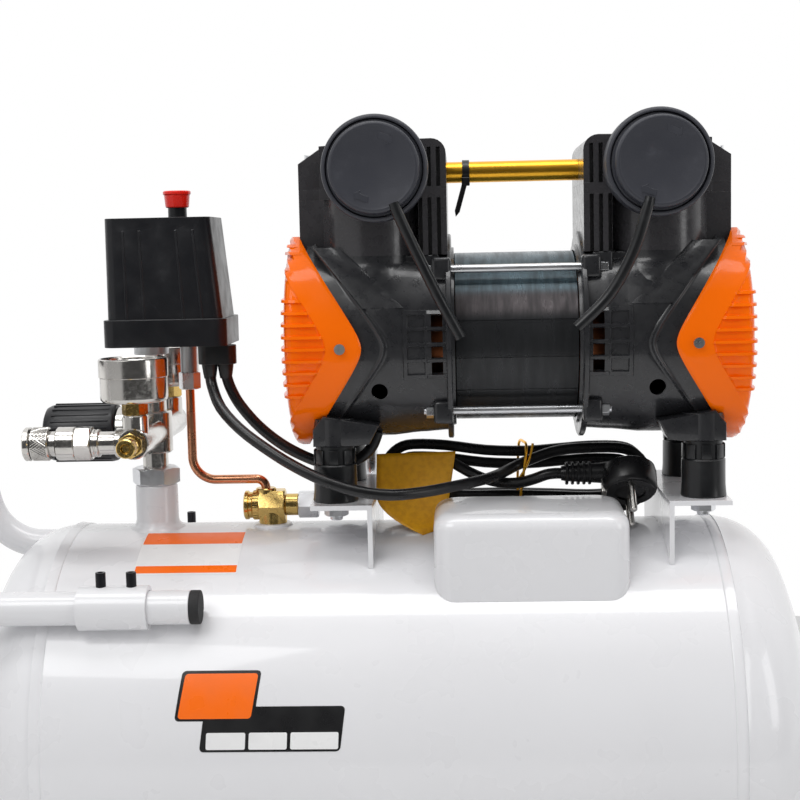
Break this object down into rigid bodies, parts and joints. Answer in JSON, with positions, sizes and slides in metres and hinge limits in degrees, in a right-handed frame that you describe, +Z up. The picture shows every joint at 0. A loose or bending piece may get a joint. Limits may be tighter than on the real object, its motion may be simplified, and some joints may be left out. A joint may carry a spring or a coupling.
{
  "type": "air compressor",
  "caption": "Portable twin-cylinder oil-free air compressor on a horizontal tank with two wheels, front legs, a bent tube handle, pressure switch, gauges and coupler.",
  "frame": {"origin": "centre of the bounding box footprint, on the floor, measured without the free mains cord", "axes": "+X along the tank towards the wheels, +Y to the rear, +Z up; the pump faces -Y"},
  "size_m": [0.6064, 0.306, 0.5786],
  "materials": {
    "white_enamel": "glossy white powder coat",
    "black_rubber": "matt moulded rubber",
    "foam_grip": "matt soft rubber with fine rings",
    "cable_sheath": "smooth black cable rubber",
    "tyre_rubber": "matt solid tyre",
    "wheel_plastic": "moulded wheel centre",
    "plated_brass": "nickel plated brass",
    "gauge_metal": "bright gauge case",
    "gauge_glass": "clear lens",
    "gauge_needle": "black needle",
    "zinc_steel": "bright zinc plate",
    "yellow_brass": "turned brass",
    "copper_tube": "bare copper",
    "aluminium_tube": "drawn aluminium tube",
    "gold_tube": "gold anodised aluminium tube",
    "switch_metal": "die cast",
    "switch_plastic": "fine grained black plastic",
    "red_button": "glossy red",
    "black_casting": "black gloss paint on die cast aluminium",
    "lamination_steel": "stacked steel sheets",
    "black_cylinder": "black gloss paint on cast aluminium",
    "raw_aluminium": "machined aluminium",
    "orange_plastic": "glossy orange",
    "charcoal_plastic": "charcoal plastic",
    "filter_felt": "felt filter",
    "grey_iron": "cast iron",
    "fan_plastic": "moulded nylon"
  },
  "bodies": {
    "chassis": {"tank": "white_enamel", "handle_sockets": "white_enamel", "legs": "white_enamel", "pump_brackets": "white_enamel", "capacitor_box": "white_enamel", "rubber_feet": "black_rubber", "mounting_bushes": "black_rubber", "cable_gland": "black_rubber", "intake_tubes": "black_rubber", "motor_cable": "cable_sheath", "mains_cord": "cable_sheath", "mains_cord_hank": "cable_sheath", "mains_plug": "cable_sheath", "manifold": "plated_brass", "coupler_body": "plated_brass", "gauge_cases": "gauge_metal", "gauge_lenses": "gauge_glass", "socket_screws": "zinc_steel", "wheel_axle": "zinc_steel", "pipe_nuts": "zinc_steel", "mounting_bolts": "zinc_steel", "tie_rods": "zinc_steel", "pump_screws": "zinc_steel", "safety_valve_body": "yellow_brass", "check_valve": "yellow_brass", "unloader_tube": "copper_tube", "stator_windings": "copper_tube", "discharge_pipe": "aluminium_tube", "crossover_tube": "gold_tube", "switch_base": "switch_metal", "switch_cover": "switch_plastic", "filter_housings": "switch_plastic", "end_castings": "black_casting", "stator_core": "lamination_steel", "bearings": "lamination_steel", "cylinder_blocks": "black_cylinder", "valve_plates": "black_cylinder", "cylinder_heads": "black_cylinder", "end_covers": "orange_plastic", "filter_elements": "filter_felt"},
    "handle_body": {"handle": "white_enamel", "handle_grip": "foam_grip"},
    "near_wheel_body": {"near_wheel": "wheel_plastic", "near_tyre": "tyre_rubber"},
    "far_wheel_body": {"far_wheel": "wheel_plastic", "far_tyre": "tyre_rubber"},
    "rotor_body": {"rotor": "lamination_steel", "eccentrics": "grey_iron", "fans": "fan_plastic"},
    "piston_left_body": {"piston_left": "raw_aluminium"},
    "piston_right_body": {"piston_right": "raw_aluminium"},
    "switch_knob_body": {"switch_knob": "red_button"},
    "regulator_knob_body": {"regulator_knob": "switch_plastic"},
    "coupler_sleeve_body": {"coupler_sleeve": "plated_brass"},
    "safety_stem_body": {"safety_valve_stem": "yellow_brass"},
    "tank_needle_body": {"tank_gauge_needle": "gauge_needle"},
    "outlet_needle_body": {"outlet_gauge_needle": "gauge_needle"},
    "drain_screw_body": {"drain_screw": "yellow_brass"},
    "cap_left_body": {"filter_cap_left": "charcoal_plastic"},
    "cap_right_body": {"filter_cap_right": "charcoal_plastic"}
  },
  "joints": [
    {"name": "handle_adjust", "type": "slide", "parent": "chassis", "child": "handle_body", "axis": [-1, 0, 0], "range_m": [-0.04, 0.03]},
    {"name": "near_wheel_spin", "type": "hinge", "parent": "chassis", "child": "near_wheel_body", "pos_m": [0.21269, -0.129, 0.065], "axis": [0, 1, 0], "continuous": true},
    {"name": "far_wheel_spin", "type": "hinge", "parent": "chassis", "child": "far_wheel_body", "pos_m": [0.21269, 0.129, 0.065], "axis": [0, 1, 0], "continuous": true},
    {"name": "rotor_spin", "type": "hinge", "parent": "chassis", "child": "rotor_body", "pos_m": [0.12169, 0, 0.4447], "axis": [1, 0, 0], "continuous": true},
    {"name": "piston_left_stroke", "type": "slide", "parent": "chassis", "child": "piston_left_body", "axis": [0, 0, 1], "range_m": [-0.007, 0.007]},
    {"name": "piston_right_stroke", "type": "slide", "parent": "chassis", "child": "piston_right_body", "axis": [0, 0, 1], "range_m": [-0.007, 0.007]},
    {"name": "switch_press", "type": "slide", "parent": "chassis", "child": "switch_knob_body", "axis": [0, 0, 1], "range_m": [-0.006, 0]},
    {"name": "regulator_turn", "type": "hinge", "parent": "chassis", "child": "regulator_knob_body", "pos_m": [-0.11031, 0, 0.387], "axis": [1, 0, 0], "range_deg": [-270, 270]},
    {"name": "coupler_release", "type": "slide", "parent": "chassis", "child": "coupler_sleeve_body", "axis": [1, 0, 0], "range_m": [0, 0.004], "stiffness_N_per_m": 1500},
    {"name": "safety_pull", "type": "slide", "parent": "chassis", "child": "safety_stem_body", "axis": [0, -1, 0], "range_m": [0, 0.003], "stiffness_N_per_m": 2500},
    {"name": "tank_needle_turn", "type": "hinge", "parent": "chassis", "child": "tank_needle_body", "pos_m": [-0.11031, 0.055, 0.39], "axis": [0, 0, -1], "range_deg": [0, 270], "stiffness_Nm_per_rad": 0.0005},
    {"name": "outlet_needle_turn", "type": "hinge", "parent": "chassis", "child": "outlet_needle_body", "pos_m": [-0.11031, -0.055, 0.39], "axis": [0, 0, -1], "range_deg": [0, 270], "stiffness_Nm_per_rad": 0.0005},
    {"name": "drain_turn", "type": "hinge", "parent": "chassis", "child": "drain_screw_body", "pos_m": [0.04069, 0, 0.07], "axis": [0, 0, 1], "range_deg": [0, 360]},
    {"name": "cap_left_turn", "type": "hinge", "parent": "chassis", "child": "cap_left_body", "pos_m": [0.03949, -0.09, 0.5474], "axis": [0, 1, 0], "range_deg": [0, 30]},
    {"name": "cap_right_turn", "type": "hinge", "parent": "chassis", "child": "cap_right_body", "pos_m": [0.20389, -0.09, 0.5474], "axis": [0, 1, 0], "range_deg": [0, 30]}
  ]
}
